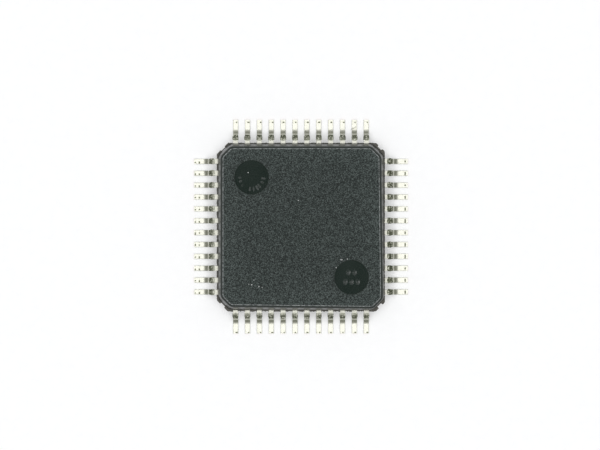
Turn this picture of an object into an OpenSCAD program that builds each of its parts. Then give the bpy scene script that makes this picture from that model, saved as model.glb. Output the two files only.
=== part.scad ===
// Low-profile quad flat pack: a moulded resin body on a formed lead frame, with gull-wing leads on four sides.
// Origin at the centre of the seating plane, under the feet. +Z is up, out of the top face.
// Sides are numbered 0 left, 1 bottom, 2 right, 3 top, counter-clockwise seen from above.

/* [Moulded body] */
// Length of one side of the body at the parting line
body_size = 7; // [6:0.1:7.9]
// Thickness of the moulding
body_height = 1.4; // [1.2:0.05:1.6]
// Gap between the underside of the body and the seating plane
standoff = 0.1; // [0.05:0.01:0.15]
// Draft of the body's walls, in degrees from upright
draft_angle = 12; // [8:1:14]
// Leg of the 45 degree chamfer at each corner
corner_chamfer = 0.49; // [0.3:0.01:0.5]
// Radius between a wall and a corner chamfer
corner_radius = 0.3; // [0.1:0.05:0.4]
// Radius along the top and bottom edges
edge_radius = 0.1; // [0.04:0.01:0.12]

/* [Moulding flash and marks] */
// Reach of the resin webs between the leads past the walls: left, bottom, right, top
web_reach = [0.05, 0.06, 0.02, 0.04]; // [0:0.005:0.06]
// Reach of the two lugs past each corner chamfer, from top left, counter-clockwise
lug_reach = [0.045, 0.085, 0.135, 0.115]; // [0:0.005:0.15]
// Radius on the lugs where they face the tie bar
lug_radius = 0.07; // [0.02:0.01:0.1]
// Clearance of the lugs each side of the tie bar
lug_clearance = 0.015; // [0:0.005:0.04]
// Slope lost by the chamfer wall where the resin entered, in degrees
gate_draft = 3; // [1:1:6]
// Diameter of an ejector-pin mark
ejector_d = 1.46; // [0.8:0.02:1.8]
// Depth of an ejector-pin mark
ejector_depth = 0.03; // [0.01:0.01:0.06]
// Distance of an ejector-pin mark from the middle, along X and along Y
ejector_offset = 2.12; // [1.6:0.02:2.3]

/* [Leads] */
// Pitch of the leads. Each side has as many as it holds.
lead_pitch = 0.5; // [0.45:0.05:0.8]
// Least length of wall between a corner chamfer and the first lead
lead_margin = 0.1; // [0.05:0.01:0.15]
// Width of a lead
lead_width = 0.22; // [0.17:0.01:0.27]
// Thickness of the lead frame
lead_thickness = 0.127; // [0.09:0.001:0.2]
// Distance from the body's wall to the tips of the leads
lead_reach = 1; // [0.9:0.05:1.4]
// Flat part of the shoulder outside the body
shoulder_length = 0.12; // [0.1:0.005:0.2]
// Inside radius of the upper bend
shoulder_radius = 0.13; // [0.08:0.005:0.15]
// Inside radius of the lower bend
heel_radius = 0.17; // [0.08:0.01:0.2]
// Lean of the leg, in degrees from upright
leg_angle = 12; // [5:1:20]
// How far the stub of the cut dam bar stands out each side of a lead
dam_stub = 0.018; // [0:0.002:0.04]

/* [Inside the resin] */
// Length of the straight part of a finger inside the body
finger_straight = 0.3; // [0.2:0.05:0.5]
// Pitch of the fingers at their inner tips
finger_tip_pitch = 0.31; // [0.28:0.01:0.34]
// Width of a finger at its inner tip
finger_tip_width = 0.17; // [0.12:0.01:0.18]
// Side of the square die pad
pad_size = 3.9; // [3.4:0.1:4.2]
// Gap between the die pad and the finger tips
pad_gap = 0.25; // [0.15:0.01:0.35]
// Depth that the die pad is set below the fingers
pad_downset = 0.2; // [0.1:0.01:0.25]
// Width of a tie bar
tie_width = 0.2; // [0.15:0.01:0.25]
// Length of a tie bar on the pad's level, past the corner of the pad
tie_flat_run = 0.2; // [0.1:0.05:0.3]
// Length of the slope of a tie bar, seen from above
tie_slope_run = 0.3; // [0.2:0.05:0.5]
// Side of the square die
die_size = 3; // [2:0.1:3.4]
// Thickness of the die
die_thickness = 0.28; // [0.1:0.01:0.3]
// Thickness of the die-attach adhesive
attach_thickness = 0.025; // [0.01:0.005:0.05]
// Width of the adhesive that shows round the die
attach_margin = 0.05; // [0:0.01:0.1]

/* [Bond wires] */
// Thickness of a bond wire, drawn square in section
wire_d = 0.025; // [0.02:0.001:0.035]
// Diameter of the ball at the die end
ball_d = 0.07; // [0.06:0.005:0.08]
// Height of the ball
ball_height = 0.015; // [0.01:0.001:0.02]
// Straight rise of a wire from the die
wire_rise = 0.1; // [0.05:0.01:0.14]
// Radius of the bends in a wire
wire_bend = 0.05; // [0.03:0.01:0.06]
// Pitch of the bond pads along an edge of the die
bond_pitch = 0.2; // [0.12:0.01:0.22]
// Distance of the bond pads from the edge of the die
bond_inset = 0.1; // [0.06:0.01:0.2]
// Distance of the wire's landing from the finger tip
landing_inset = 0.1; // [0.06:0.01:0.15]
// Straight drop of a wire onto its finger
wire_drop = 0.03; // [0.02:0.01:0.06]

/* [Hidden] */
SIDE_NAMES = ["left", "bottom", "right", "top"];
// Corner k lies between side k and the side before it, so corner 0 is the top left one
SLANTED_LUG_CORNER = 3;
// Flats that stand for a bend of a lead, and for the radius along an edge of the body
BEND_STEPS = 8;
EDGE_STEPS = 3;
// Flats that stand for a bend of a bond wire, and sides of the ball at its end
WIRE_STEPS = 3;
BALL_FACETS = 8;
ARC_FACETS = 48;

half_body = body_size / 2;
body_bottom = standoff;
body_top = standoff + body_height;
frame_bottom = standoff + (body_height - lead_thickness) / 2;
frame_top = frame_bottom + lead_thickness;
half_height = (body_height - lead_thickness) / 2;
chamfer_reach = (2 * half_body - corner_chamfer) / sqrt(2);
// Support of the facet that rounds the edge between a wall and a chamfer
blend_reach = half_body * cos(22.5) + (half_body - corner_chamfer) * sin(22.5)
    - corner_radius * (1 / cos(22.5) - 1);

leads_per_side = 1 + floor((body_size - 2 * (corner_chamfer + lead_margin) - lead_width) / lead_pitch);
lead_count = 4 * leads_per_side;
row_end = (leads_per_side - 1) / 2;
shoulder_end = half_body + shoulder_length;
finger_bend = half_body - finger_straight;
finger_tip = pad_size / 2 + pad_gap;
tip_reach = half_body + lead_reach;

// The gull wing: the leg drops between the two bends, and the foot takes up what is left of the reach
bend_sweep = 90 - leg_angle;
bend_outside = shoulder_radius + lead_thickness;
leg_drop = frame_bottom - (shoulder_radius + heel_radius + lead_thickness) * (1 - cos(bend_sweep));
leg_length = leg_drop / cos(leg_angle);
bend_centre = [shoulder_end, frame_bottom - shoulder_radius];
// The stretch of the upper bend that the dam bar was cut from
dam_from = bend_sweep * 1 / BEND_STEPS;
dam_to = bend_sweep * 5 / BEND_STEPS;
leg_start = bend_centre + bend_outside * [sin(bend_sweep), cos(bend_sweep)];
leg_end = leg_start + leg_length * [sin(leg_angle), -cos(leg_angle)];
heel_centre = leg_end + heel_radius * [cos(leg_angle), sin(leg_angle)];

pad_top = frame_top - pad_downset;
die_bottom = pad_top + attach_thickness;
die_top = die_bottom + die_thickness;
tie_flat = pad_size / sqrt(2) + tie_flat_run;

bond_reach = die_size / 2 - bond_inset;
landing_reach = finger_tip + landing_inset;

function lead_name(n) = str("lead_", n < 10 ? "0" : "", n);
function row_position(i) = i - row_end;
// Where the middle of a finger lies across its row, at a given reach from the centre of the package
function finger_y(i, reach) = row_position(i) * (finger_tip_pitch
    + (lead_pitch - finger_tip_pitch) * (reach - finger_tip) / (finger_bend - finger_tip));

// ---- Placing ----

// Turns what is drawn along +X to one of the four sides
module on_side(side) {
    rotate([0, 0, 180 + 90 * side]) children();
}

// Turns what is drawn along +X to one of the four corners
module on_corner(corner) {
    rotate([0, 0, 135 + 90 * corner]) children();
}

// ---- Leads ----

// Plan of a finger and its shoulder, which lie flat in the plane of the frame
module finger_plan(i) {
    y_out = row_position(i) * lead_pitch;
    y_tip = row_position(i) * finger_tip_pitch;
    polygon([
        [shoulder_end, y_out - lead_width / 2],
        [shoulder_end, y_out + lead_width / 2],
        [finger_bend, y_out + lead_width / 2],
        [finger_tip, y_tip + finger_tip_width / 2],
        [finger_tip, y_tip - finger_tip_width / 2],
        [finger_bend, y_out - lead_width / 2]
    ]);
}

// Points on a bend, from one angle to another, measured from +Z towards +X
function bend_points(centre, radius, from, to) =
    [for (k = [0:BEND_STEPS])
        let (angle = from + (to - from) * k / BEND_STEPS)
        centre + radius * [sin(angle), cos(angle)]];

// Side view of the leg and the foot, as one outline: X is the reach and Y is the height
module gull_wing_profile() {
    polygon(concat(
        bend_points(bend_centre, bend_outside, 0, bend_sweep),
        bend_points(heel_centre, heel_radius, 180 + bend_sweep, 180),
        [[tip_reach, lead_thickness], [tip_reach, 0]],
        bend_points(heel_centre, heel_radius + lead_thickness, 180, 180 + bend_sweep),
        bend_points(bend_centre, shoulder_radius, bend_sweep, 0)
    ));
}

// Side view of the piece of the upper bend that the dam bar was cut from
module dam_stub_profile() {
    polygon(concat(
        bend_points(bend_centre, bend_outside, dam_from, dam_to),
        bend_points(bend_centre, shoulder_radius, dam_to, dam_from)
    ));
}

// Stands a side view upright, centred across its row at y
module upright(y, width) {
    translate([0, y, 0]) rotate([90, 0, 0])
        linear_extrude(height = width, center = true) children();
}

// One lead of a side: finger, shoulder, leg and foot, with the stubs of the dam bar on the upper bend
module lead_shape(i) {
    y = row_position(i) * lead_pitch;
    translate([0, 0, frame_bottom]) linear_extrude(height = lead_thickness) finger_plan(i);
    upright(y, lead_width) gull_wing_profile();
    upright(y, lead_width + 2 * dam_stub) dam_stub_profile();
}

module lead(n) {
    side = floor((n - 1) / leads_per_side);
    color("lightgray") on_side(side) lead_shape((n - 1) % leads_per_side);
}

// ---- Die pad and its tie bars ----

// Side view of a tie bar along a corner: on the pad's level, up the slope, and out on the frame's level
module tie_bar_profile() {
    polygon([
        [0, pad_top - lead_thickness],
        [tie_flat, pad_top - lead_thickness],
        [tie_flat + tie_slope_run, frame_bottom],
        [chamfer_reach, frame_bottom],
        [chamfer_reach, frame_top],
        [tie_flat + tie_slope_run, frame_top],
        [tie_flat, pad_top],
        [0, pad_top]
    ]);
}

module pad_shape() {
    translate([-pad_size / 2, -pad_size / 2, pad_top - lead_thickness])
        cube([pad_size, pad_size, lead_thickness]);
    for (corner = [0:3])
        on_corner(corner) upright(0, tie_width) tie_bar_profile();
}

module die_pad() {
    color("silver") pad_shape();
}

// ---- Die ----

module square_plate(size, bottom, thickness) {
    translate([-size / 2, -size / 2, bottom]) cube([size, size, thickness]);
}

module attach_shape() {
    square_plate(die_size + 2 * attach_margin, pad_top, attach_thickness);
}

module die_attach() {
    color("goldenrod") attach_shape();
}

module die_shape() {
    square_plate(die_size, die_bottom, die_thickness);
}

module die() {
    color("slategray") die_shape();
}

// ---- Bond wires ----

// Points on a bend of a wire, from one angle to another, measured from +X towards +Z
function wire_bend_points(centre, radius, from, to) =
    [for (k = [0:WIRE_STEPS])
        let (angle = from + (to - from) * k / WIRE_STEPS)
        centre + radius * [cos(angle), sin(angle)]];

// One side of a wire, half a diameter out from its middle line: up from the die, over, and down to [run, drop]
function wire_side(run, drop, out) =
    let (
        first = [wire_bend, wire_rise],
        second = [run - wire_bend, drop + wire_drop],
        slope = atan2(first[1] - second[1], second[0] - first[0])
    )
    concat(
        [[-out, 0]],
        wire_bend_points(first, wire_bend + out, 180, 90 - slope),
        wire_bend_points(second, wire_bend + out, 90 - slope, 0),
        [[run + out, drop]]
    );

// A wire that stands on its ball at the origin and lands at [run, drop]
module wire_loop(run, drop) {
    outer = wire_side(run, drop, wire_d / 2);
    inner = wire_side(run, drop, -wire_d / 2);
    last = len(inner) - 1;
    upright(0, wire_d) polygon(concat(outer, [for (k = [last:-1:0]) inner[k]]));
    cylinder(d = ball_d, h = ball_height, $fn = BALL_FACETS);
}

module side_wires() {
    for (i = [0:leads_per_side - 1]) {
        start = [bond_reach, row_position(i) * bond_pitch];
        end = [landing_reach, finger_y(i, landing_reach)];
        translate([start[0], start[1], die_top])
            rotate([0, 0, atan2(end[1] - start[1], end[0] - start[0])])
                wire_loop(norm(end - start), frame_top - die_top);
    }
}

module wires(side) {
    color("gold") on_side(side) side_wires();
}

// ---- Moulded body ----

// One end of a body slab's outline, from the underside up: a drafted wall each side of an upright land,
// with a radius at the bottom and at the top edge
function wall_outline(reach, upper_draft) = concat(
    [for (k = [0:EDGE_STEPS]) edge_point(reach, draft_angle, k, -1)],
    [[reach, frame_bottom], [reach, frame_top]],
    [for (k = [EDGE_STEPS:-1:0]) edge_point(reach, upper_draft, k, 1)]
);

// Point k of an edge radius, counted from the flat face: up is 1 for the top edge and -1 for the bottom one
function edge_point(reach, draft, k, up) =
    let (
        turn = (90 - draft) * k / EDGE_STEPS,
        centre_z = up > 0 ? body_top - edge_radius : body_bottom + edge_radius,
        edge = reach - half_height * tan(draft),
        centre_x = edge - edge_radius * tan((90 - draft) / 2)
    )
    [centre_x + edge_radius * sin(turn), centre_z + up * edge_radius * cos(turn)];

// A slab through the whole body, square to one direction. The far end's upper wall may have its own draft.
module body_slab(direction, reach, far_draft = draft_angle) {
    near_end = wall_outline(reach, draft_angle);
    far_end = wall_outline(reach, far_draft);
    last = len(far_end) - 1;
    rotate([0, 0, direction]) upright(0, 2 * body_size)
        polygon(concat(near_end, [for (k = [last:-1:0]) [-far_end[k][0], far_end[k][1]]]));
}

// The drafted block: walls, corner chamfers and the facets that round between them.
// The far ends at 135 degrees and beside it are the gate corner, where the wall is nearly upright.
module drafted_block() {
    intersection() {
        body_slab(0, half_body);
        body_slab(90, half_body);
        body_slab(45, chamfer_reach);
        body_slab(135, chamfer_reach, gate_draft);
        body_slab(22.5, blend_reach);
        body_slab(67.5, blend_reach);
        body_slab(112.5, blend_reach, gate_draft);
        body_slab(157.5, blend_reach, gate_draft);
    }
}

// Plan of the webs: the body's square, let out on each side by that side's own reach
module web_square() {
    translate([-half_body - web_reach[0], -half_body - web_reach[1]])
        square([body_size + web_reach[0] + web_reach[2], body_size + web_reach[1] + web_reach[3]]);
}

// Plan of one lug beside a tie bar: a bar along the chamfer with a round end
module round_lug(reach) {
    slot = tie_width / 2 + lug_clearance;
    translate([0, slot + lug_radius]) square([chamfer_reach + reach, corner_chamfer]);
    translate([0, slot]) square([chamfer_reach + reach - lug_radius, corner_chamfer]);
    translate([chamfer_reach + reach - lug_radius, slot + lug_radius])
        circle(r = lug_radius, $fn = ARC_FACETS);
}

// Plan of a lug that the trimming punch cut off at a slant
module slanted_lug(reach) {
    slot = tie_width / 2 + lug_clearance;
    polygon([
        [0, slot],
        [chamfer_reach, slot],
        [chamfer_reach + reach, corner_chamfer],
        [0, corner_chamfer]
    ]);
}

// Plan of the resin at the level of the frame: webs along the sides and two lugs at each corner
module frame_level_plan() {
    intersection() {
        web_square();
        rotate(45) square(2 * chamfer_reach, center = true);
    }
    intersection() {
        web_square();
        for (corner = [0:3])
            on_corner(corner) {
                round_lug(lug_reach[corner]);
                mirror([0, 1])
                    if (corner == SLANTED_LUG_CORNER) slanted_lug(lug_reach[corner]);
                    else round_lug(lug_reach[corner]);
            }
    }
}

// Shallow round marks of the ejector pins, at two opposite corners of the top and of the underside
module ejector_marks() {
    for (place = [-1, 1])
        for (level = [body_bottom, body_top])
            translate([place * ejector_offset, -place * ejector_offset, level])
                cylinder(d = ejector_d, h = 2 * ejector_depth, center = true, $fn = 96);
}

// Plan of every finger, which is also the pocket that the fingers leave in the resin
module all_fingers_plan() {
    for (side = [0:3])
        for (i = [0:leads_per_side - 1])
            on_side(side) finger_plan(i);
}

module moulded_body() {
    color("dimgray") difference() {
        union() {
            drafted_block();
            translate([0, 0, frame_bottom])
                linear_extrude(height = lead_thickness) frame_level_plan();
        }
        translate([0, 0, frame_bottom])
            linear_extrude(height = lead_thickness) all_fingers_plan();
        pad_shape();
        attach_shape();
        die_shape();
        for (side = [0:3]) on_side(side) side_wires();
        ejector_marks();
    }
}

// ---- Nodes ----

moulded_body();
die_pad();
die_attach();
die();
for (n = [1:lead_count])
    lead(n);
for (side = [0:3])
    wires(side);
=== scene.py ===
"""Looks of a quad flat pack chip: a black moulded body with twelve formed leads on each of its four sides.

Sizes in the sections below are in millimetres. Each finished piece is brought to metres.
"""

import math
import random

import bmesh
import bpy
from mathutils import Matrix, Vector


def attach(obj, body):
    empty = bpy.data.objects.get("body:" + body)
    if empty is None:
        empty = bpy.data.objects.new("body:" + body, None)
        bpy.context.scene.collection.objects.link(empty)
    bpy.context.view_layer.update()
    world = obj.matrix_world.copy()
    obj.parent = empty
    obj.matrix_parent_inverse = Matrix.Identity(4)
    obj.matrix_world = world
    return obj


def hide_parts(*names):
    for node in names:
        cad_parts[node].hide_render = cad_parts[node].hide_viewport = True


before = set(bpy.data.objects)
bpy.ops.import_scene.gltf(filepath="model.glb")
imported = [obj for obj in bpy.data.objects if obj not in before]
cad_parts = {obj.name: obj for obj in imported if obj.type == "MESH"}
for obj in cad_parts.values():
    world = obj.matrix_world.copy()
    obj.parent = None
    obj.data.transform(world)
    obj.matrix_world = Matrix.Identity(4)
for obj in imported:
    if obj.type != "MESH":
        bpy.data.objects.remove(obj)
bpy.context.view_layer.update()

# ---- Die pad and tie bars ----
# The plate that carries the die, with a tie bar to each corner. It is stamped from rolled copper alloy
# strip in one piece with the leads, and only the four cut ends of its tie bars can be seen.

copper_colour = (0.72, 0.45, 0.33, 1)
copper_dull = (0.50, 0.29, 0.20, 1)


def start_material(name, metal, roughness):
    """A new material, with its shader and the place on the part in millimetres."""
    material = bpy.data.materials.new(name)
    material.use_nodes = True
    tree = material.node_tree
    shader = tree.nodes["Principled BSDF"]
    shader.inputs["Metallic"].default_value = metal
    shader.inputs["Roughness"].default_value = roughness
    position = tree.nodes.new("ShaderNodeTexCoord")
    to_mm = tree.nodes.new("ShaderNodeMapping")
    to_mm.inputs["Scale"].default_value = (1000, 1000, 1000)
    tree.links.new(position.outputs["Object"], to_mm.inputs["Vector"])
    return material, shader, to_mm.outputs["Vector"]


def grain(material, place, per_mm, detail=2.0, stretch=(1, 1, 1)):
    """Cloudy noise with so many grains a millimetre, drawn out along an axis where stretch is small."""
    tree = material.node_tree
    drawn = tree.nodes.new("ShaderNodeMapping")
    drawn.inputs["Scale"].default_value = stretch
    noise = tree.nodes.new("ShaderNodeTexNoise")
    noise.inputs["Scale"].default_value = per_mm
    noise.inputs["Detail"].default_value = detail
    tree.links.new(place, drawn.inputs["Vector"])
    tree.links.new(drawn.outputs["Vector"], noise.inputs["Vector"])
    return noise.outputs["Fac"]


def ramp(material, source, *stops):
    """Turns a value into a colour or a level: stops are (value, colour or level)."""
    tree = material.node_tree
    node = tree.nodes.new("ShaderNodeValToRGB")
    elements = node.color_ramp.elements
    while len(elements) < len(stops):
        elements.new(0.5)
    for element, (value, colour) in zip(elements, stops):
        element.position = value
        element.color = colour if isinstance(colour, tuple) else (colour, colour, colour, 1)
    tree.links.new(source, node.inputs["Fac"])
    return node.outputs["Color"]


def rough_relief(material, shader, height, depth_mm):
    """Relief on a surface, from a height between 0 and 1 and its depth in millimetres."""
    tree = material.node_tree
    bump = tree.nodes.new("ShaderNodeBump")
    bump.inputs["Strength"].default_value = 1.0
    bump.inputs["Distance"].default_value = depth_mm / 1000
    tree.links.new(height, bump.inputs["Height"])
    tree.links.new(bump.outputs["Normal"], shader.inputs["Normal"])


def finish_surface(shader, colour, roughness):
    """Gives a shader its colour and its roughness."""
    links = shader.id_data.links
    links.new(colour, shader.inputs["Base Color"])
    links.new(roughness, shader.inputs["Roughness"])


rolled_copper, shader, place = start_material("rolled_copper", 1.0, 0.35)
rolling = grain(rolled_copper, place, 30, 3, (0.08, 1, 1))
finish_surface(
    shader,
    ramp(rolled_copper, rolling, (0.35, copper_dull), (0.65, copper_colour)),
    ramp(rolled_copper, rolling, (0.3, 0.5), (0.7, 0.28)),
)
rough_relief(rolled_copper, shader, rolling, 0.001)


def dress(node, material):
    """Gives a CAD node its material and leaves its shape as it is."""
    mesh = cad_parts[node].data
    mesh.materials.clear()
    mesh.materials.append(material)


dress("die_pad", rolled_copper)

# ---- Die-attach adhesive ----
# The thin bed of silver-filled epoxy that bonds the die to its pad. It is dispensed as a paste and
# cured, so its flakes show as a fine glitter at its edge.

flakes_per_mm = 60
flake_silver = (0.72, 0.72, 0.69, 1)
epoxy_grey = (0.40, 0.40, 0.38, 1)

silver_epoxy, shader, place = start_material("silver_epoxy", 0.6, 0.5)
flakes = silver_epoxy.node_tree.nodes.new("ShaderNodeTexVoronoi")
flakes.inputs["Scale"].default_value = flakes_per_mm
silver_epoxy.node_tree.links.new(place, flakes.inputs["Vector"])
flake = flakes.outputs["Distance"]
finish_surface(
    shader,
    ramp(silver_epoxy, flake, (0.1, flake_silver), (0.7, epoxy_grey)),
    ramp(silver_epoxy, flake, (0.1, 0.3), (0.7, 0.7)),
)
rough_relief(silver_epoxy, shader, flake, 0.004)
dress("die_attach", silver_epoxy)

# ---- Die ----
# The silicon chip itself, sawn from a polished wafer. Its face shows the faint blocks of its circuits
# through a glassy passivation.

silicon_blue = (0.24, 0.26, 0.31, 1)
silicon_violet = (0.31, 0.29, 0.33, 1)
track_colour = (0.45, 0.43, 0.38, 1)

polished_silicon, shader, place = start_material("polished_silicon", 0.7, 0.15)
blocks = polished_silicon.node_tree.nodes.new("ShaderNodeTexBrick")
for socket, setting in (
    ("Scale", 3),
    ("Color1", silicon_blue),
    ("Color2", silicon_violet),
    ("Mortar", track_colour),
    ("Mortar Size", 0.02),
):
    blocks.inputs[socket].default_value = setting
polished_silicon.node_tree.links.new(place, blocks.inputs["Vector"])
film = grain(polished_silicon, place, 12)
finish_surface(shader, blocks.outputs["Color"], ramp(polished_silicon, film, (0.3, 0.1), (0.7, 0.24)))
rough_relief(polished_silicon, shader, blocks.outputs["Fac"], 0.001)
dress("die", polished_silicon)

# ---- Bond wires ----
# Forty-eight gold wires, twelve a side, each drawn through a die, balled on its bond pad and
# stitched down on the finger of its lead.

gold_deep = (0.86, 0.62, 0.22, 1)
gold_bright = (0.98, 0.78, 0.36, 1)

drawn_gold, shader, place = start_material("drawn_gold", 1.0, 0.25)
drawing = grain(drawn_gold, place, 80, 2, (1, 1, 0.2))
finish_surface(
    shader,
    ramp(drawn_gold, drawing, (0.3, gold_deep), (0.7, gold_bright)),
    ramp(drawn_gold, drawing, (0.3, 0.35), (0.7, 0.18)),
)
rough_relief(drawn_gold, shader, drawing, 0.0008)
for side_name in ("left", "bottom", "right", "top"):
    dress(f"wires_{side_name}", drawn_gold)

# ---- Moulded body ----
# One moulding of black epoxy, filled with silica, formed round the lead frame in a two-part mould.
# Its walls draw both ways from the frame, and thin resin stands between the leads and at the corners.

body_side = 7.0
body_bottom = 0.1
body_top = 1.497
frame_bottom = 0.7365
frame_top = 0.8635
chamfer = 0.49
blend_radius = 0.36
draft_run = 0.135
edge_set = 0.081
edge_steps = 5
gate_shift = 0.1
gate_corner = 2.8
merge_gap = 0.0002
tolerance = 0.001
chance = random.Random(48)
on_shell, on_flash, on_rim_highlight = range(3)


def finish_piece(name, bm, crease, *materials):
    """Makes a mesh in millimetres a piece in metres, with its edges sharp above crease degrees."""
    bmesh.ops.remove_doubles(bm, verts=bm.verts, dist=merge_gap)
    bmesh.ops.recalc_face_normals(bm, faces=bm.faces)
    for face in bm.faces:
        face.smooth = True
    for edge in bm.edges:
        level = sum(abs(f.normal.z) > 0.9999 for f in edge.link_faces)
        edge.smooth = level != 1 and edge.calc_face_angle(0) < math.radians(crease)
    bmesh.ops.scale(bm, vec=(0.001, 0.001, 0.001), verts=bm.verts)
    mesh = bpy.data.meshes.new(name)
    bm.to_mesh(mesh)
    bm.free()
    for material in materials:
        mesh.materials.append(material)
    piece = bpy.data.objects.new(name, mesh)
    bpy.context.scene.collection.objects.link(piece)
    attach(piece, "root")
    return piece


def upright(bm):
    """The edges that run straight up."""
    return [e for e in bm.edges if (e.verts[0].co - e.verts[1].co).xy.length < tolerance]


def level_face(bm, height):
    """The largest flat face at a height."""
    level = [f for f in bm.faces if abs(f.calc_center_median().z - height) < tolerance]
    return max(level, key=lambda f: f.calc_area())


def bevel(bm, edges, width, segments):
    """Cuts edges back by a width, flat with one segment and round with more."""
    bmesh.ops.bevel(
        bm,
        geom=edges,
        offset=width,
        offset_type="OFFSET",
        segments=segments,
        profile=0.5,
        affect="EDGES",
        material=-1,
    )


def block(bm, low, high):
    """A block from its lowest to its highest corner."""
    verts = bmesh.ops.create_cube(bm, size=1)["verts"]
    low, high = Vector(low), Vector(high)
    bmesh.ops.scale(bm, vec=high - low, verts=verts)
    bmesh.ops.translate(bm, vec=(low + high) / 2, verts=verts)


def side_turn(side):
    """Turns what is built along +X to one of the four sides: left, near, right and far."""
    return Matrix.Rotation(math.radians(180 + 90 * side), 4, "Z")


body = bmesh.new()
half = body_side / 2
block(body, (-half, -half, frame_bottom), (half, half, frame_top))
bevel(body, upright(body), chamfer, 1)
bevel(body, upright(body), blend_radius * math.tan(math.radians(22.5)), edge_steps)
for level, end in ((frame_top, body_top), (frame_bottom, body_bottom)):
    parting = [level_face(body, level)]
    bmesh.ops.inset_individual(
        body, faces=parting, thickness=draft_run, depth=abs(end - level), use_even_offset=True
    )

# The resin entered at the near right corner, where the mould's upper wall stands almost upright
gate_way = Vector((1, -1, 0)).normalized()
for vert in body.verts:
    if vert.co.z > body_top - tolerance and vert.co.x > gate_corner and vert.co.y < -gate_corner:
        vert.co += gate_way * gate_shift
for level in (body_top, body_bottom):
    bevel(body, level_face(body, level).edges[:], edge_set, edge_steps)

# The two ejector-pin marks, sunk in the face at two opposite corners, on top and underneath. The wall of a
# mark is given by how far in and how deep it goes, from a broken rim to the floor. A strip along the rim of
# the face is painted pale: a painted highlight where the rounded edge meets the face.
mark_places = ((-2.07, 2.07), (2.12, -2.12))
mark_radius = 0.73
mark_depth = 0.03
mark_wall = ((0.008, 0.006), (0.014, mark_depth))
mark_sides = 96
rim_highlight_width = 0.026
for level, down in ((body_top, -1), (body_bottom, 1)):
    face = level_face(body, level)
    rim_highlight_faces = bmesh.ops.inset_individual(
        body, faces=[face], thickness=rim_highlight_width, depth=0, use_even_offset=True
    )["faces"]
    # The strip round the rim takes the painted highlight
    for border in rim_highlight_faces:
        border.material_index = on_rim_highlight
    rim = face.edges[:]
    bmesh.ops.delete(body, geom=[face], context="FACES_ONLY")
    for mark_x, mark_y in mark_places:
        middle = Vector((mark_x, mark_y, level))
        ring = bmesh.ops.create_circle(
            body, cap_ends=False, radius=mark_radius, segments=mark_sides, matrix=Matrix.Translation(middle)
        )["verts"]
        circle = list({e for v in ring for e in v.link_edges})
        rim += circle
        for step_in, depth in mark_wall:
            sunk = bmesh.ops.extrude_edge_only(body, edges=circle)["geom"]
            ring = [g for g in sunk if isinstance(g, bmesh.types.BMVert)]
            circle = [g for g in sunk if isinstance(g, bmesh.types.BMEdge)]
            for vert in ring:
                out = Vector((vert.co.x - mark_x, vert.co.y - mark_y, 0)).normalized()
                vert.co = middle + out * (mark_radius - step_in) + Vector((0, 0, down * depth))
        bmesh.ops.contextual_create(body, geom=circle)
    bmesh.ops.triangle_fill(body, edges=rim, use_beauty=True)


def add_to(bm, part, turn, material_index):
    """Adds a small mesh, turned into place, to a larger one."""
    bmesh.ops.transform(part, matrix=turn, verts=part.verts)
    for face in part.faces:
        face.material_index = material_index
    carried = bpy.data.meshes.new("carried")
    part.to_mesh(carried)
    part.free()
    bm.from_mesh(carried)
    bpy.data.meshes.remove(carried)


# Low relief that the ends of the two pins left in the marks: short rays round one, each with its direction
# in degrees, half length and height, and two rows of plain raised ovals in the other
mark_floor = body_top - mark_depth
ray_start = 0.5
ray_half_width = 0.030
oval_radius = 0.12
oval_top_radius = 0.01
oval_height = 0.0042
oval_places = ((-0.13, 0.2), (0.13, 0.2), (-0.26, -0.2), (0, -0.2), (0.26, -0.2))
for angle, length, height in (
    (182, 0.10, 0.0006),
    (200, 0.08, 0.0007),
    (222, 0.09, 0.0005),
    (262, 0.11, 0.0007),
    (280, 0.12, 0.0006),
    (298, 0.13, 0.0010),
    (312, 0.14, 0.0007),
    (334, 0.10, 0.0006),
    (354, 0.11, 0.0008),
):
    ray = bmesh.new()
    bmesh.ops.create_icosphere(ray, subdivisions=2, radius=1)
    bmesh.ops.scale(ray, vec=(length, ray_half_width, height), verts=ray.verts)
    bmesh.ops.translate(ray, vec=(ray_start, 0, 0), verts=ray.verts)
    turn = Matrix.Rotation(math.radians(angle), 4, "Z")
    add_to(body, ray, Matrix.Translation((*mark_places[0], mark_floor)) @ turn, on_shell)
for oval_x, oval_y in oval_places:
    oval = bmesh.new()
    bmesh.ops.create_cone(
        oval, cap_ends=True, segments=32, radius1=oval_radius, radius2=oval_top_radius, depth=oval_height
    )
    bmesh.ops.scale(oval, vec=(0.8, 1.15, 1), verts=oval.verts)
    mark_middle = Matrix.Translation((*mark_places[1], mark_floor + 0.45 * oval_height))
    add_to(body, oval, mark_middle @ Matrix.Translation((oval_x, oval_y, 0)), on_shell)


def subdivide_along_row(bm, cuts):
    """Divides the edges that run along a row, so that they can be left ragged."""
    along_row = [e for e in bm.edges if abs(e.verts[0].co.y - e.verts[1].co.y) > 0.03]
    bmesh.ops.subdivide_edges(bm, edges=along_row, cuts=cuts, use_grid_fill=True)


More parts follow.
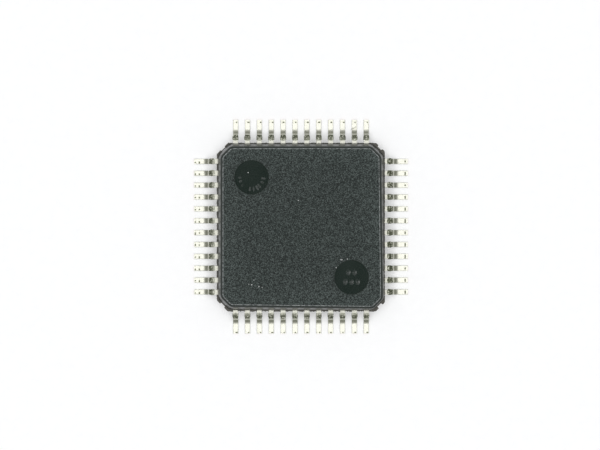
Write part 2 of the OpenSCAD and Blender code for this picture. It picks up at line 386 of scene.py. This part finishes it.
# Webs of resin between the leads: each was stopped by the dam bar and broken off a little ragged. What
# follows has one value for each side: left, near, right and far.
lead_count = 12
lead_pitch = 0.5
lead_width = 0.22
web_reach = (0.05, 0.085, 0.02, 0.035)
web_root = 0.15
web_overlap = 0.05
web_set = 0.003
web_least = 0.004
web_loss = 0.6
row_start = -(lead_count - 1) / 2 * lead_pitch
for side in range(4):
    for gap in range(lead_count + 1):
        near = max(row_start + (gap - 1) * lead_pitch + lead_width / 2, -half + chamfer - web_overlap)
        far = min(row_start + gap * lead_pitch - lead_width / 2, half - chamfer + web_overlap)
        web = bmesh.new()
        end = half + web_reach[side]
        block(web, (half - web_root, near, frame_bottom + web_set), (end, far, frame_top - web_set))
        subdivide_along_row(web, 5)
        for vert in web.verts:
            if vert.co.x > half:
                broken_off = chance.uniform(0, web_loss) * web_reach[side]
                vert.co.x = max(half + web_least, vert.co.x - broken_off)
        add_to(body, web, side_turn(side), on_flash)

# A film of resin that bled over the roots of the leads
bleed_reach = (-0.004, 0.025, 0.036, 0.002)
bleed_root = 0.05
bleed_overrun = 0.15
bleed_depth = 0.01
bleed_height = 0.004
for side in range(4):
    bleed = bmesh.new()
    block(
        bleed,
        (half - bleed_root, row_start - bleed_overrun, frame_top - bleed_depth),
        (half + bleed_reach[side], -row_start + bleed_overrun, frame_top + bleed_depth),
    )
    subdivide_along_row(bleed, 150)
    for vert in bleed.verts:
        if vert.co.x > half:
            vert.co.x = half + bleed_reach[side] * chance.uniform(0.35, 1)
            vert.co.z = min(vert.co.z, frame_top + bleed_height)
    add_to(body, bleed, side_turn(side), on_flash)

# Two lugs of resin at each corner, one on each side of the cut tie bar, flush with the webs of the sides,
# and a little resin left in the notch between them. The corners are far left, near left, near right and
# far right, and lug_side has one value for each side.
lug_reach = (0.065, 0.095, 0.150, 0.130)
lug_side = (0.035, 0.070, 0.032, 0.022)
lug_root = 0.05
lug_inner = 0.105
lug_outer = 0.40
lug_set = 0.002
lug_round = 0.045
lug_wear = 0.012
notch_reach = (0.015, 0.025, 0.050, 0.060)
notch_half = 0.12
notch_set = 0.004
chamfer_reach = (2 * half - chamfer) / math.sqrt(2)
for corner in range(4):
    turn = Matrix.Rotation(math.radians(135 + 90 * corner), 4, "Z")
    for way, side in ((1, corner), (-1, corner - 1)):
        lug = bmesh.new()
        lug_end = chamfer_reach + lug_reach[corner]
        block(
            lug,
            (chamfer_reach - lug_root, lug_inner, frame_bottom + lug_set),
            (lug_end, lug_outer, frame_top - lug_set),
        )
        for vert in lug.verts:
            if vert.co.y > lug_outer - tolerance:
                vert.co.y = (half + lug_side[side]) * math.sqrt(2) - vert.co.x
        bevel(lug, [e for e in upright(lug) if e.verts[0].co.x > chamfer_reach], lug_round, 3)
        for vert in lug.verts:
            vert.co.y *= way
            if vert.co.x > chamfer_reach:
                vert.co.x -= chance.uniform(0, lug_wear)
        add_to(body, lug, turn, on_flash)
    notch = bmesh.new()
    block(
        notch,
        (chamfer_reach - lug_root, -notch_half, frame_bottom + notch_set),
        (chamfer_reach + notch_reach[corner], notch_half, frame_top - notch_set),
    )
    add_to(body, notch, turn, on_flash)

resin_dark = (0.001, 0.0040, 0.0030, 1)
resin_mid = (0.0105, 0.0190, 0.0160, 1)
resin_light = (0.085, 0.105, 0.100, 1)
resin_edge = (0.032, 0.038, 0.035, 1)
mark_dark = (0.0005, 0.0085, 0.0045, 1)
mark_light = (0.005, 0.0135, 0.0095, 1)
middle_height = (body_bottom + body_top) / 2
eroded_from = (0.682, 0.690)
particles_per_mm = 36
flash_brown = (0.036, 0.033, 0.025, 1)
flash_pale = (0.104, 0.101, 0.084, 1)
# Pale strip round the rim of each face: a painted highlight of the rounded edge
rim_highlight_dark = (0.045, 0.050, 0.052, 1)
rim_highlight_light = (0.250, 0.270, 0.270, 1)

resin, shader, place = start_material("moulding_resin", 0.0, 0.5)
shader.inputs["IOR"].default_value = 1.45
tree = resin.node_tree


def level_between(material, source, low, high, out_low=0.0, out_high=1.0):
    """A level that goes smoothly from one value to another as the source goes from low to high."""
    node = material.node_tree.nodes.new("ShaderNodeMapRange")
    node.interpolation_type = "SMOOTHSTEP"
    for name, value in (("From Min", low), ("From Max", high), ("To Min", out_low), ("To Max", out_high)):
        node.inputs[name].default_value = value
    material.node_tree.links.new(source, node.inputs["Value"])
    return node.outputs["Result"]


def work_out(material, operation, *terms):
    """One sum on levels: each term is an output or a plain number."""
    node = material.node_tree.nodes.new("ShaderNodeMath")
    node.operation = operation
    for socket, term in zip(node.inputs, terms):
        if isinstance(term, (int, float)):
            socket.default_value = term
        else:
            material.node_tree.links.new(term, socket)
    return node.outputs["Value"]


def apart(material, vector):
    """The three parts of a vector."""
    node = material.node_tree.nodes.new("ShaderNodeSeparateXYZ")
    material.node_tree.links.new(vector, node.inputs["Vector"])
    return node.outputs


def blend_tone(material, share, first, second):
    """A colour between two, by a share from 0 to 1."""
    node = material.node_tree.nodes.new("ShaderNodeMix")
    node.data_type = "RGBA"
    for name, term in (("Factor", share), ("A", first), ("B", second)):
        socket = next(s for s in node.inputs if s.name == name and s.enabled)
        if isinstance(term, (int, float, tuple)):
            socket.default_value = term
        else:
            material.node_tree.links.new(term, socket)
    return next(s for s in node.outputs if s.enabled)


# The two flat faces carry the eroded grain of the mould, with pale flecks of filler. The faces are
# painted lighter towards the edges and more so at the corners, a painted sheen. The edges, the walls and
# the marks are smooth.
facing = tree.nodes.new("ShaderNodeTexCoord").outputs["Normal"]
spot = apart(resin, place)
flatness = work_out(resin, "ABSOLUTE", apart(resin, facing)["Z"])
off_middle = work_out(resin, "ABSOLUTE", work_out(resin, "SUBTRACT", spot["Z"], middle_height))
level_share = level_between(resin, flatness, 0.9990, 0.9998)
eroded = work_out(resin, "MULTIPLY", level_share, level_between(resin, off_middle, *eroded_from))
fine = grain(resin, place, 18, 1)
patches = grain(resin, place, 0.9, 3)
far_x, far_y = (work_out(resin, "ABSOLUTE", spot[axis]) for axis in "XY")
# Painted sheen: the face is made lighter towards its edges and more at its corners
edge_sheen = level_between(resin, work_out(resin, "MAXIMUM", far_x, far_y), 2.0, 3.2, 0, 0.08)
corner_sheen = level_between(resin, work_out(resin, "ADD", far_x, far_y), 4.9, 6.1, 0, 0.13)
filler = tree.nodes.new("ShaderNodeTexVoronoi")
filler.inputs["Scale"].default_value = particles_per_mm
tree.links.new(place, filler.inputs["Vector"])
painted_sheen_and_crazing = work_out(resin, "MAXIMUM", edge_sheen, corner_sheen)
particles_and_sheen = work_out(resin, "ADD", apart(resin, filler.outputs["Color"])["X"], painted_sheen_and_crazing)
speckle_and_sheen = ramp(resin, particles_and_sheen, (0.1, resin_dark), (0.5, resin_mid), (1, resin_light))
mark_tone = ramp(resin, patches, (0.35, mark_dark), (0.65, mark_light))
smooth_tone = blend_tone(resin, level_between(resin, flatness, 0.93, 0.99), resin_edge, mark_tone)
smooth_gloss = level_between(resin, flatness, 0.4, 0.9, 0.28, 0.13)
finish_surface(
    shader,
    blend_tone(resin, eroded, smooth_tone, speckle_and_sheen),
    work_out(resin, "MAXIMUM", smooth_gloss, work_out(resin, "MULTIPLY", eroded, 0.78)),
)
rough_relief(resin, shader, work_out(resin, "MULTIPLY", fine, eroded), 0.015)

resin_flash, shader, place = start_material("resin_flash", 0.0, 0.5)
broken = grain(resin_flash, place, 18, 3)
finish_surface(
    shader,
    ramp(resin_flash, broken, (0.35, flash_brown), (0.7, flash_pale)),
    ramp(resin_flash, broken, (0.3, 0.45), (0.7, 0.7)),
)
rough_relief(resin_flash, shader, broken, 0.02)

# Painted highlight: a pale strip round the rim of each face, where the rounded edge catches the lamps
rim_highlight_resin, shader, place = start_material("rim_highlight_resin", 0.0, 0.5)
rim_highlight_grain = grain(rim_highlight_resin, place, 12, 3)
finish_surface(
    shader,
    ramp(rim_highlight_resin, rim_highlight_grain, (0.38, rim_highlight_dark), (0.62, rim_highlight_light)),
    ramp(rim_highlight_resin, rim_highlight_grain, (0.3, 0.6), (0.7, 0.4)),
)
rough_relief(rim_highlight_resin, shader, rim_highlight_grain, 0.006)

resin_body = finish_piece("resin_body", body, 30, resin, resin_flash, rim_highlight_resin)
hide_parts("moulded_body")

# ---- Leads ----
# Forty-eight leads, stamped from the same strip as the die pad. Once the body is moulded they are
# plated with matt tin, the dam bar between them is cut out, and each is bent to its gull wing.

finger_tip = 2.2
finger_root = 3.2
tip_pitch = 0.31
tip_width = 0.17
shoulder_end = 3.616
strip = frame_top - frame_bottom
shoulder_radius = 0.13
heel_radius = 0.17
bend_sweep = math.radians(78)
bend_steps = 12
lean = math.pi / 2 - bend_sweep
lead_reach = 4.5
corner_round = 0.016
stub_width = 0.026
stub_from, stub_to = 8, 52
leg_drop = frame_bottom - (shoulder_radius + heel_radius + strip) * (1 - math.cos(bend_sweep))
leg_run = Vector((leg_drop * math.tan(lean), 0, -leg_drop))
heel_way = Vector((math.cos(lean), 0, math.sin(lean)))
# The marks on the feet have one value for each side: how far out they lie, how far shifted and how wide
nick_reaches = ((4.28, 4.45), (4.46,), (4.39,), (4.395,))
nick_shift = (1, 1, -0.3, -1)
nick_spread = (1, 1, 1.6, 1)
nick_half = 0.03
nick_border = 0.004
nick_depth = 0.006
on_nick, on_cut = 1, 2
tin_bright = (0.72, 0.72, 0.645, 1)
tin_grey = (0.62, 0.62, 0.555, 1)
tin_dull = (0.45, 0.45, 0.40, 1)
# Painted shade in the concave heel of each lead
tin_heel_shade = (0.37, 0.38, 0.31, 1)
tin_crazed = (0.10, 0.110, 0.073, 1)
tin_olive = (0.22, 0.235, 0.165, 1)
nick_colour = (0.13, 0.135, 0.105, 1)
shoulder_height = (0.8610, 0.8634)
row_edge = (3.3, 3.4)
edge_bow = 2.5
crazing_start = (3.606, 3.628)
crazing_spread = (3.63, 3.80)
crazing_foot = (0.605, 0.67)
heel_shade_reach = (3.96, 4.13)
heel_shade_height = (0.55, 0.35)

tin_plate, shader, place = start_material("tin_plate", 1.0, 0.35)
spot = apart(tin_plate, place)
height = spot["Z"]
far_x, far_y = (work_out(tin_plate, "ABSOLUTE", spot[axis]) for axis in "XY")
reach = work_out(tin_plate, "MAXIMUM", far_x, far_y)
in_row = work_out(tin_plate, "MINIMUM", far_x, far_y)

# The crazing starts at the bend, a little later along the edges of a lead. It sets in at once on the right
# row, nearly so on the far row, and by degrees on the other two.
to_gap = work_out(tin_plate, "PINGPONG", in_row, lead_pitch / 2)
off_middle = work_out(tin_plate, "SUBTRACT", lead_pitch / 2, to_gap)
bow = work_out(tin_plate, "MULTIPLY", off_middle, off_middle)
edge_delay = work_out(tin_plate, "MULTIPLY", bow, edge_bow)
bent = work_out(tin_plate, "SUBTRACT", reach, edge_delay)
right_row = level_between(tin_plate, spot["X"], *row_edge)
far_row = level_between(tin_plate, spot["Y"], *row_edge, 0, 0.8)
at_once = work_out(tin_plate, "MAXIMUM", right_row, far_row)
painted_sheen_and_crazing = work_out(tin_plate, "MAXIMUM", at_once, level_between(tin_plate, bent, *crazing_spread, 0.55, 1))
past_start = level_between(tin_plate, bent, *crazing_start)
on_bend = work_out(tin_plate, "MULTIPLY", past_start, level_between(tin_plate, height, *crazing_foot))
crazing = work_out(tin_plate, "MULTIPLY", on_bend, painted_sheen_and_crazing)

# The heel is painted darker, a painted shade in its concave bend, down to where the foot starts, which is a
# little nearer on the far row
heel_shade_by = work_out(tin_plate, "ADD", reach, level_between(tin_plate, spot["Y"], *row_edge, 0, 0.045))
heel_shade = level_between(tin_plate, heel_shade_by, *heel_shade_reach, 1, 0)
painted_heel_shade = work_out(tin_plate, "MULTIPLY", heel_shade, level_between(tin_plate, height, *heel_shade_height))

matt = grain(tin_plate, place, 25, 2)
cracks = grain(tin_plate, place, 14, 3)
shoulder = level_between(tin_plate, height, *shoulder_height, 0, 0.55)
flat_tone = ramp(tin_plate, matt, (0.3, tin_grey), (0.55, tin_bright))
flat_tone = blend_tone(tin_plate, shoulder, flat_tone, tin_dull)
# The heel takes the painted shade
flat_tone = blend_tone(tin_plate, painted_heel_shade, flat_tone, tin_heel_shade)
bend_tone = ramp(tin_plate, cracks, (0.40, tin_crazed), (0.54, tin_olive), (0.66, tin_bright))
dulled = work_out(tin_plate, "MAXIMUM", crazing, painted_heel_shade)
finish_surface(
    shader,
    blend_tone(tin_plate, crazing, flat_tone, bend_tone),
    level_between(tin_plate, dulled, 0, 1, 0.60, 0.72),
)
rough_relief(tin_plate, shader, cracks, 0.006)

tin_nick, shader, place = start_material("tin_nick", 1.0, 0.6)
pits = grain(tin_nick, place, 60, 2)
finish_surface(
    shader,
    ramp(tin_nick, pits, (0.3, nick_colour), (0.7, tin_olive)),
    ramp(tin_nick, pits, (0.3, 0.5), (0.7, 0.7)),
)
rough_relief(tin_nick, shader, pits, 0.004)


def pull(bm, ends, way):
    """Extrudes the end face of a lead by a vector; returns the new end face."""
    grown = bmesh.ops.extrude_face_region(bm, geom=ends)["geom"]
    bmesh.ops.delete(bm, geom=ends, context="FACES_ONLY")
    bmesh.ops.translate(bm, vec=way, verts=[g for g in grown if isinstance(g, bmesh.types.BMVert)])
    return [g for g in grown if isinstance(g, bmesh.types.BMFace)]


def bend(bm, ends, centre, sweep):
    """Spins the end face of a lead round a bend; returns the new end face."""
    spun = bmesh.ops.spin(
        bm, geom=ends, cent=centre, axis=(0, 1, 0), angle=sweep, steps=bend_steps, use_duplicate=False
    )
    bmesh.ops.delete(bm, geom=ends, context="FACES_ONLY")
    return [g for g in spun["geom_last"] if isinstance(g, bmesh.types.BMFace)]


for number in range(1, 4 * lead_count + 1):
    side, place_in_row = divmod(number - 1, lead_count)
    across = (place_in_row - (lead_count - 1) / 2) * lead_pitch
    across_tip = (place_in_row - (lead_count - 1) / 2) * tip_pitch
    lead = bmesh.new()
    block(lead, (finger_tip, -lead_width / 2, frame_bottom), (finger_root, lead_width / 2, frame_top))
    for vert in lead.verts:
        if vert.co.x < finger_tip + tolerance:
            vert.co.y = vert.co.y * tip_width / lead_width + across_tip - across
    lengthwise = [e for e in lead.edges if abs(e.verts[0].co.x - e.verts[1].co.x) > 0.5]
    bevel(lead, lengthwise, corner_round, 2)
    ends = [max(lead.faces, key=lambda f: f.calc_center_median().x)]
    ends = pull(lead, ends, (shoulder_end - finger_root, 0, 0))
    ends = bend(lead, ends, (shoulder_end, 0, frame_bottom - shoulder_radius), bend_sweep)
    ends = pull(lead, ends, leg_run)
    leg_end = ends[0].calc_center_median()
    ends = bend(lead, ends, leg_end + heel_way * (heel_radius + strip / 2), -bend_sweep)
    foot_end = ends[0].calc_center_median().x
    stops = sorted({r + d for r in nick_reaches[side] for d in (-nick_half, nick_half)})
    for stop in stops + [lead_reach]:
        ends = pull(lead, ends, (stop - foot_end, 0, 0))
        foot_end = stop

    # The dam bar's stubs, left a little uneven by the punch on each side of the bend
    for way in (1, -1):
        stub = chance.uniform(0.45, 1.0) * stub_width
        for vert in lead.verts:
            over = vert.co.z - (frame_bottom - shoulder_radius)
            angle = math.degrees(math.atan2(vert.co.x - shoulder_end, over))
            if stub_from < angle < stub_to and vert.co.y * way > lead_width / 2 - corner_round * 1.5:
                vert.co.y += way * stub * chance.uniform(0.8, 1.0)

    # Small marks on the foot, where the tool held it
    for nick_reach in nick_reaches[side]:
        tops = [
            f
            for f in lead.faces
            if abs(f.calc_center_median().x - nick_reach) < 0.005
            and abs(f.calc_center_median().z - strip) < tolerance
        ]
        bmesh.ops.inset_individual(lead, faces=tops, thickness=nick_border, depth=0)
        for face in tops:
            middle = face.calc_center_median()
            shift = chance.uniform(0.01, 0.055) * nick_shift[side]
            width = chance.uniform(0.25, 0.55) * nick_spread[side]
            for vert in face.verts:
                vert.co.y = middle.y + shift + (vert.co.y - middle.y) * width
                vert.co.z -= nick_depth
            face.material_index = on_nick
    tip = max(lead.faces, key=lambda f: f.calc_center_median().x)
    tip.material_index = on_cut
    bmesh.ops.translate(lead, vec=(0, across, 0), verts=lead.verts)
    bmesh.ops.rotate(lead, cent=(0, 0, 0), matrix=side_turn(side).to_3x3(), verts=lead.verts)
    tinned = finish_piece(f"formed_lead_{number:02d}", lead, 40, tin_plate, tin_nick, rolled_copper)
    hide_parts(f"lead_{number:02d}")

# ---- Dust ----
# Pale grains that settled on the face, one in a mark and some beside the rim of the other, and a short
# dark fibre across the second lead of the far side.

dust_height = 0.0028
dust_grey = (0.35, 0.36, 0.36, 1)
dust_pale = (0.62, 0.63, 0.62, 1)

dust = bmesh.new()
for grain_x, grain_y, grain_size, level in (
    (-2.066, -2.438, 0.044, body_top),
    (-2.190, -2.420, 0.026, body_top),
    (-1.973, -2.240, 0.032, body_top),
    (-1.763, -2.514, 0.042, body_top),
    (-1.630, -2.545, 0.034, body_top),
    (-2.215, 2.270, 0.042, mark_floor),
    (-0.107, 1.100, 0.038, body_top),
    (1.655, -1.375, 0.030, body_top),
    (1.715, -1.390, 0.046, body_top),
    (1.940, -1.355, 0.036, body_top),
    (1.477, -1.720, 0.040, body_top),
):
    speck = bmesh.ops.create_icosphere(dust, subdivisions=2, radius=1)["verts"]
    bmesh.ops.scale(dust, vec=(grain_size * 0.5, grain_size * 0.65, dust_height), verts=speck)
    bmesh.ops.translate(dust, vec=(grain_x, grain_y, level), verts=speck)
dust_white, shader, place = start_material("dust_white", 0.0, 0.8)
lint = grain(dust_white, place, 50, 2)
finish_surface(
    shader,
    ramp(dust_white, lint, (0.3, dust_grey), (0.7, dust_pale)),
    ramp(dust_white, lint, (0.3, 0.6), (0.7, 0.9)),
)
rough_relief(dust_white, shader, lint, 0.004)
dust_grains = finish_piece("dust_grains", dust, 60, dust_white)

fibre_radius = 0.007
fibre_start = (2.08, 4.06, 0.15)
fibre_ways = ((0.05, 0.05, 0.02), (0.06, 0.03, 0.01), (0.06, 0.02, 0), (0.05, 0.03, 0), (0.02, 0.05, -0.01))
fibre_dark = (0.05, 0.045, 0.03, 1)
fibre_brown = (0.14, 0.12, 0.08, 1)

fibre = bmesh.new()
facing_x = Matrix.Rotation(math.radians(90), 4, "Y")
ring = bmesh.ops.create_circle(fibre, cap_ends=True, radius=fibre_radius, segments=8, matrix=facing_x)
ends = ring["verts"][0].link_faces[:]
grown = bmesh.ops.extrude_face_region(fibre, geom=ends, use_keep_orig=True)["geom"]
bmesh.ops.translate(fibre, vec=fibre_ways[0], verts=[g for g in grown if isinstance(g, bmesh.types.BMVert)])
ends = [g for g in grown if isinstance(g, bmesh.types.BMFace)]
for way in fibre_ways[1:]:
    ends = pull(fibre, ends, way)
bmesh.ops.translate(fibre, vec=fibre_start, verts=fibre.verts)
dust_dark, shader, place = start_material("dust_dark", 0.0, 0.6)
strand = grain(dust_dark, place, 40, 2)
finish_surface(
    shader,
    ramp(dust_dark, strand, (0.3, fibre_dark), (0.7, fibre_brown)),
    ramp(dust_dark, strand, (0.3, 0.5), (0.7, 0.8)),
)
rough_relief(dust_dark, shader, strand, 0.002)
dust_fibre = finish_piece("dust_fibre", fibre, 60, dust_dark)

# ---- Floor, light and camera ----
# The chip stands on its feet on a wide sheet of white card, under a ring of soft lamps round the camera,
# which looks straight down. Sizes in this section are in metres.

card_half = 2
card_drop = 0.00001
card_glow = 0.38
card_grey = (0.61, 0.615, 0.622, 1)
card_pale = (0.63, 0.635, 0.642, 1)

floor_mesh = bmesh.new()
bmesh.ops.create_grid(floor_mesh, x_segments=1, y_segments=1, size=card_half)
bmesh.ops.translate(floor_mesh, vec=(0, 0, -card_drop), verts=floor_mesh.verts)
floor_data = bpy.data.meshes.new("white_card")
floor_mesh.to_mesh(floor_data)
floor_mesh.free()
white_card, shader, place = start_material("white_card", 0.0, 0.9)
fibres = grain(white_card, place, 3, 3)
links = white_card.node_tree.links
links.new(ramp(white_card, fibres, (0.3, card_grey), (0.7, card_pale)), shader.inputs["Base Color"])
shader.inputs["Specular IOR Level"].default_value = 0.0
rays = white_card.node_tree.nodes.new("ShaderNodeLightPath").outputs
mirrored = work_out(white_card, "MAXIMUM", rays["Is Glossy Ray"], rays["Is Transmission Ray"])
seen = work_out(white_card, "MAXIMUM", rays["Is Camera Ray"], mirrored)
shader.inputs["Emission Color"].default_value = (1, 1, 1, 1)
links.new(work_out(white_card, "MULTIPLY", seen, card_glow), shader.inputs["Emission Strength"])
floor_data.materials.append(white_card)
floor = bpy.data.objects.new("white_card", floor_data)
bpy.context.scene.collection.objects.link(floor)

lamp_height = 0.5
lamp_edge = 0.14
lens_gap = 0.055
lamp_power = 0.33
long_side, short_side = lamp_edge + lens_gap, lamp_edge - lens_gap
for name, x, y, wide, deep, share in (
    ("left", -lamp_edge + short_side / 2, -lamp_edge + long_side / 2, short_side, long_side, 1.12),
    ("near", lamp_edge - long_side / 2, -lamp_edge + short_side / 2, long_side, short_side, 0.98),
    ("right", lamp_edge - short_side / 2, lamp_edge - long_side / 2, short_side, long_side, 0.92),
    ("far", -lamp_edge + long_side / 2, lamp_edge - short_side / 2, long_side, short_side, 0.98),
):
    lamp_data = bpy.data.lights.new(f"softbox_{name}", "AREA")
    lamp_data.shape = "RECTANGLE"
    lamp_data.size, lamp_data.size_y = wide, deep
    lamp_data.energy = lamp_power * share
    lamp = bpy.data.objects.new(f"softbox_{name}", lamp_data)
    lamp.location = (x, y, lamp_height)
    lamp.visible_camera = False
    bpy.context.scene.collection.objects.link(lamp)

# The room's light, by how high it comes from: 0 is level and 1 is straight up, where the dark lens is
world = bpy.data.worlds.new("soft_room")
world.use_nodes = True
tree = world.node_tree
direction = tree.nodes.new("ShaderNodeTexCoord").outputs["Generated"]
split = tree.nodes.new("ShaderNodeSeparateXYZ")
sky = tree.nodes.new("ShaderNodeValToRGB")
elements = sky.color_ramp.elements
for position, level in (
    (0.0, 0.30),
    (0.342, 0.32),
    (0.5, 0.36),
    (0.616, 0.40),
    (0.7, 0.44),
    (0.766, 0.48),
    (0.866, 0.56),
    (0.94, 0.9),
    (0.990, 1.4),
    (0.993, 0.02),
):
    element = elements.new(position)
    element.color = (level, level, level, 1)
elements.remove(elements[-1])
elements.remove(elements[0])
tree.links.new(direction, split.inputs["Vector"])
tree.links.new(split.outputs["Z"], sky.inputs["Fac"])
tree.links.new(sky.outputs["Color"], tree.nodes["Background"].inputs["Color"])
tree.nodes["Background"].inputs["Strength"].default_value = 1.0
bpy.context.scene.world = world

camera_place = (-0.00004, 0.00007, 0.3008)
camera_data = bpy.data.cameras.new("overhead_camera")
camera_data.sensor_width = 36
camera_data.lens = 428.2
camera_data.clip_start = 0.01
camera_data.clip_end = 10
camera = bpy.data.objects.new("overhead_camera", camera_data)
camera.location = camera_place
bpy.context.scene.collection.objects.link(camera)
bpy.context.scene.camera = camera
bpy.context.scene.view_settings.view_transform = "Standard"
